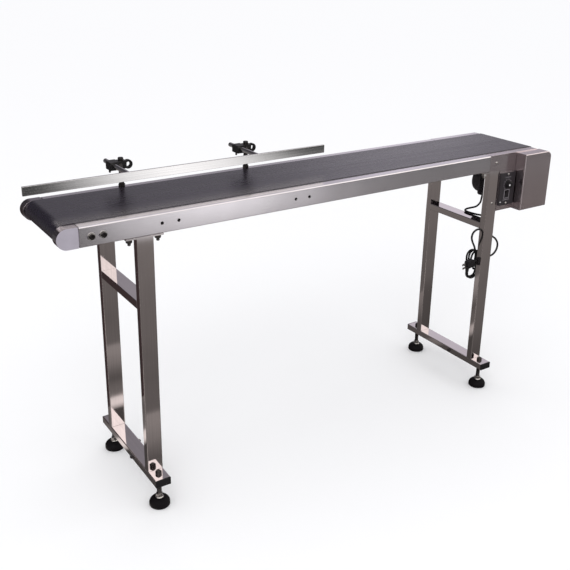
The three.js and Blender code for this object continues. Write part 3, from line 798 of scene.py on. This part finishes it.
for stand, centre in LEG_X.items():
    small_bolt(f"{stand}_bar_bolt_head", (centre - 20, -32, 79), "-x", DARK_ZINC)
    small_bolt(f"{stand}_bar_bolt_nut", (centre + 20, 24, 79), "+x", DARK_ZINC)

# ---------------------------------------------------------------- stands and feet

for stand, centre in LEG_X.items():
    for which in ("near", "far"):
        refine(f"{stand}_{which}_leg", LEG_STEEL, 0.4, [(along("z", 300), 2.2, 4)])
        refine(f"{stand}_{which}_bar_cap", BLACK_PLASTIC, 1.0, segments=3)
    refine(f"{stand}_crossbar", BAR_STEEL, 0.4, [(along("y", 150), 2.2, 4)])
    refine(f"{stand}_foot_bar", BAR_STEEL, 0.4, [(along("y", 250), 2.2, 4)])

FOOT_Y = 145.5


def foot_pad(x, y):
    """Domed rubber pad."""
    profile = [(0, 0), (24.6, 0), (25.6, 0.6), (26, 1.8), (26, 7), (25.8, 9.6), (25, 12),
               (23.8, 14.4), (22, 16.5), (19.8, 18.6), (17, 20.3), (14, 21.4), (11, 22), (0, 22)]

    def build(bm):
        lathe(bm, profile, (x, y, 0), "+z", 64)
    return build


def foot_stud(x, y):
    """Flange, adjusting hexagon and threaded rod."""
    def build(bm):
        lathe(bm, [(0, 22.2), (10.2, 22.2), (10.6, 23), (9.4, 24.6), (0, 24.6)],
              (x, y, 0), "+z", 36)
        prism(bm, ring_points(9.4, 6), 24.4, 31.5, (x, y, 0), "+z", 0.8)
        lathe(bm, [(0, 31), (5.4, 31)] + threads(6.0, 32, 97, 1.75, 0.8)
              + [(5.4, 97.4), (4.6, 98.4), (0, 98.4)], (x, y, 0), "+z", 28)
    return build


def bar_nut(x, y):
    """Round nut that guides the stud, seated on top of the foot bar."""
    profile = [(6.4, 89.3), (8.0, 89.3), (8.0, 94.6), (7.5, 95.3), (6.4, 95.3), (6.4, 89.3)]

    def build(bm):
        lathe(bm, profile, (x, y, 0), "+z", 36)
        bmesh.ops.remove_doubles(bm, verts=bm.verts, dist=1e-6)
    return build


for stand, centre in LEG_X.items():
    for which, sign in (("near", NEAR), ("far", FAR)):
        body = f"{stand}_{which}_foot"
        piece_of(f"{body}_pad_rubber", foot_pad(centre, sign * FOOT_Y), BLACK_RUBBER, body,
                 "black_rubber", [f"{body}_pad"])
        stud = piece_of(f"{body}_stud_thread", foot_stud(centre, sign * FOOT_Y), ZINC, body,
                        "zinc_steel", [f"{body}_stud"])
        paint(stud, BLACK_STEEL, lambda f: f.center.z > 33 * MM)
        piece_of(f"{body}_bar_nut", bar_nut(centre, sign * FOOT_Y), BLACK_STEEL, ROOT,
                 "zinc_steel")

# ---------------------------------------------------------------- guide bar

refine("guide_bar", GUIDE_STEEL, 0.6)
POST_X = (-497.8, -141.8)
POST_Y = 115
POST_FOOT, POST_TOP = 755.2, 824.4
for number, post_x in enumerate(POST_X, 1):
    refine(f"guide_rod_{number}", CHROME, 1.0, segments=3)
    refine(f"guide_clamp_{number}", BLACK_PLASTIC, 1.0, segments=3)

    def post_shape(bm, x=post_x):
        lathe(bm, [(0, POST_FOOT), (6, POST_FOOT), (6, POST_TOP), (0, POST_TOP)],
              (x, POST_Y, 0), "+z", 36)
        prism(bm, ring_points(9, 6), POST_FOOT, 762, (x, POST_Y, 0), "+z", 0.7)
    piece_of(f"guide_post_{number}_rod", post_shape, BLACK_STEEL, ROOT, "zinc_steel",
             [f"guide_post_{number}"])

    def cap_shape(bm, x=post_x):
        lathe(bm, [(0, 823.9), (6.5, 823.9), (6.8, 824.3), (6.8, 827.6), (6.2, 828.7),
                   (5, 829), (0, 829)], (x, POST_Y, 0), "+z", 32)
    piece_of(f"guide_post_{number}_cap", cap_shape, BLACK_PLASTIC, ROOT, "black_plastic")

    def screw_tip(bm, x=post_x):
        lathe(bm, [(0, 0), (2.6, 0), (2.6, 7), (2.1, 7.8), (0, 7.8)], (x - 29, POST_Y, 802),
              "-z", 18)
        prism(bm, ring_points(5.4, 6, 0.2), 0, 4.5, (x - 6, POST_Y - 11, 812), "-y", 0.6)
        prism(bm, ring_points(5.4, 6, 0.2), 0, 4.5, (x + 4, POST_Y + 11, 812), "+y", 0.6)
    piece_of(f"guide_clamp_{number}_screws", screw_tip, DARK_ZINC, "guide_clamps",
             "zinc_steel")

# ---------------------------------------------------------------- stage and light


def ramp(tree, value, low, high, stops):
    """Grey value that follows (place, brightness) stops laid between low and high."""
    remap = tree.nodes.new("ShaderNodeMapRange")
    remap.inputs["From Min"].default_value = low
    remap.inputs["From Max"].default_value = high
    tree.links.new(value, remap.inputs["Value"])
    colours = tree.nodes.new("ShaderNodeValToRGB")
    places = colours.color_ramp.elements
    places.remove(places[1])
    for count, (at, bright) in enumerate(stops):
        share = (at - low) / (high - low)
        element = places.new(share) if count else places[0]
        element.position = share
        element.color = (bright, bright, bright, 1)
    tree.links.new(remap.outputs["Result"], colours.inputs["Fac"])
    return colours.outputs["Color"]


def floor_material():
    """Pale floor. What polished steel mirrors is a dimmer studio floor with a bright band."""
    material, tree, shader = start_material("studio_floor")
    shader.inputs["Base Color"].default_value = (0.95, 0.95, 0.95, 1)
    shader.inputs["Roughness"].default_value = 0.9
    shader.inputs["Specular IOR Level"].default_value = 0.0
    where = tree.nodes.new("ShaderNodeNewGeometry")
    split = tree.nodes.new("ShaderNodeSeparateXYZ")
    tree.links.new(where.outputs["Position"], split.inputs["Vector"])
    away = tree.nodes.new("ShaderNodeMath")
    away.operation = "ABSOLUTE"
    tree.links.new(split.outputs["Y"], away.inputs[0])
    left = ramp(tree, away.outputs[0], 0, 4,
                [(0, 0.07), (0.11, 0.07), (0.135, 0.9), (0.17, 0.9), (0.19, 0.19),
                 (0.24, 0.17), (0.29, 0.11), (0.34, 0.17), (0.38, 0.24), (0.45, 0.30),
                 (0.50, 0.30), (0.52, 0.145), (0.7, 0.135), (0.9, 0.155), (1.2, 0.17),
                 (1.8, 0.21), (4, 0.2)])
    right = ramp(tree, away.outputs[0], 0, 4,
                 [(0, 0.08), (0.3, 0.10), (0.4, 0.14), (0.6, 0.15), (1.2, 0.19), (1.8, 0.21),
                  (4, 0.2)])
    near = mix_colour(tree, ramp(tree, split.outputs["X"], -1, 1, [(-1, 0), (0, 0), (0.5, 1)]),
                      left, right)
    across = ramp(tree, split.outputs["X"], -4, 4,
                  [(-4, 0.2), (-0.3, 0.16), (0.0, 0.15), (0.13, 0.55), (0.33, 1.0),
                   (0.61, 1.35), (0.91, 1.3), (1.35, 0.72), (1.65, 0.42), (1.95, 0.32),
                   (2.6, 0.26), (4, 0.24)])
    beyond_rail = ramp(tree, split.outputs["X"], -4, 4,
                       [(-4, 0.15), (-0.05, 0.05), (0.12, 0.07), (0.3, 0.42), (0.55, 0.9),
                        (0.95, 1.35), (1.36, 1.05), (1.82, 0.14), (2.0, 0.07), (4, 0.12)])
    band = ramp(tree, away.outputs[0], 0, 6, [(0, 0), (1.88, 0), (2.0, 1), (6, 1)])
    outer = ramp(tree, away.outputs[0], 0, 6, [(0, 0), (2.35, 0), (2.6, 1), (6, 1)])
    brown = mix_colour(tree, 1.0, near, (1.0, 0.92, 0.875), "MULTIPLY")
    seen = mix_colour(tree, band, brown, mix_colour(tree, outer, across, beyond_rail))
    glow = tree.nodes.new("ShaderNodeEmission")
    tree.links.new(seen, glow.inputs["Color"])
    path = tree.nodes.new("ShaderNodeLightPath")
    choose = tree.nodes.new("ShaderNodeMixShader")
    tree.links.new(path.outputs["Is Glossy Ray"], choose.inputs["Fac"])
    tree.links.new(shader.outputs["BSDF"], choose.inputs[1])
    tree.links.new(glow.outputs["Emission"], choose.inputs[2])
    tree.links.new(choose.outputs["Shader"], tree.nodes["Material Output"].inputs["Surface"])
    material.cycles.emission_sampling = "NONE"
    return material


def make_floor():
    bm = bmesh.new()
    bmesh.ops.create_grid(bm, x_segments=1, y_segments=1, size=60)
    floor = bpy.data.objects.new("floor", finish_mesh("floor", bm))
    floor.location = (0, 0, -0.0005)
    floor.data.materials.append(floor_material())
    bpy.context.scene.collection.objects.link(floor)


CARD_X = (-0.85, -0.60)
CARD_Y = 0.35
CARD_TOP = 0.75


def make_card():
    """Dark card beside the tail stand, seen only in what the polished steel mirrors."""
    bm = bmesh.new()
    left, right = CARD_X
    corners = [(left, CARD_Y, 0), (right, CARD_Y, 0), (right, CARD_Y, CARD_TOP),
               (left, CARD_Y, CARD_TOP)]
    bm.faces.new([bm.verts.new(c) for c in corners])
    card = bpy.data.objects.new("dark_card", finish_mesh("dark_card", bm))
    material, tree, shader = start_material("dark_card")
    shader.inputs["Base Color"].default_value = (0, 0, 0, 1)
    shader.inputs["Specular IOR Level"].default_value = 0.0
    shader.inputs["Emission Color"].default_value = (0.048, 0.034, 0.034, 1)
    shader.inputs["Emission Strength"].default_value = 1.0
    material.cycles.emission_sampling = "NONE"
    card.data.materials.append(material)
    card.visible_camera = card.visible_diffuse = card.visible_shadow = False
    bpy.context.scene.collection.objects.link(card)


def area_light(name, at, target, size, power, colour=(1, 1, 1)):
    data = bpy.data.lights.new(name, "AREA")
    data.shape = "RECTANGLE"
    data.size, data.size_y = size
    data.energy = power
    data.color = colour
    light = bpy.data.objects.new(name, data)
    aim = (Vector(target) - Vector(at)).to_track_quat("-Z", "Y")
    light.matrix_world = Matrix.Translation(at) @ aim.to_matrix().to_4x4()
    bpy.context.scene.collection.objects.link(light)


def make_world():
    """White studio all round. In reflections its far wall is dim on the left, bright right."""
    world = bpy.data.worlds.new("studio")
    world.use_nodes = True
    tree = world.node_tree
    room = tree.nodes["Background"]
    room.inputs["Color"].default_value = (0.98, 0.98, 1.0, 1)
    room.inputs["Strength"].default_value = 1.04
    place = tree.nodes.new("ShaderNodeTexCoord")
    split = tree.nodes.new("ShaderNodeSeparateXYZ")
    tree.links.new(place.outputs["Generated"], split.inputs["Vector"])
    across = ramp(tree, split.outputs["X"], -1, 1,
                  [(-1, 0.08), (0.0, 0.07), (0.2, 0.24), (0.33, 0.34), (0.52, 0.39), (0.57, 0.56),
                   (0.63, 0.74), (0.69, 0.74), (0.75, 0.42), (1, 0.6)])
    side = ramp(tree, split.outputs["Y"], -1, 1, [(-1, 0), (-0.2, 0), (0.25, 1), (1, 1)])
    dim = ramp(tree, split.outputs["Z"], -1, 1,
               [(-1, 1), (0.36, 1), (0.52, 0.7), (0.62, 0.8), (1, 1)])
    top = ramp(tree, split.outputs["Z"], -1, 1, [(-1, 0), (0.64, 0), (0.82, 1), (1, 1)])
    wall = mix_colour(tree, 1.0, mix_colour(tree, 1.0, across, dim, "MULTIPLY"),
                      (1.0, 0.95, 1.04), "MULTIPLY")
    low = mix_colour(tree, side, (1.5, 1.45, 1.37), wall)
    seen = mix_colour(tree, top, low, (0.80, 0.79, 0.82))
    mirrored = tree.nodes.new("ShaderNodeBackground")
    tree.links.new(seen, mirrored.inputs["Color"])
    path = tree.nodes.new("ShaderNodeLightPath")
    choose = tree.nodes.new("ShaderNodeMixShader")
    tree.links.new(path.outputs["Is Glossy Ray"], choose.inputs["Fac"])
    tree.links.new(room.outputs["Background"], choose.inputs[1])
    tree.links.new(mirrored.outputs["Background"], choose.inputs[2])
    tree.links.new(choose.outputs["Shader"], tree.nodes["World Output"].inputs["Surface"])
    world.cycles.sampling_method = "NONE"
    bpy.context.scene.world = world


make_floor()
make_card()
make_world()
area_light("key", (-1.6, -2.4, 3.2), (0, 0, 0.5), (2.6, 1.8), 25)
bpy.context.scene.view_settings.view_transform = "Standard"
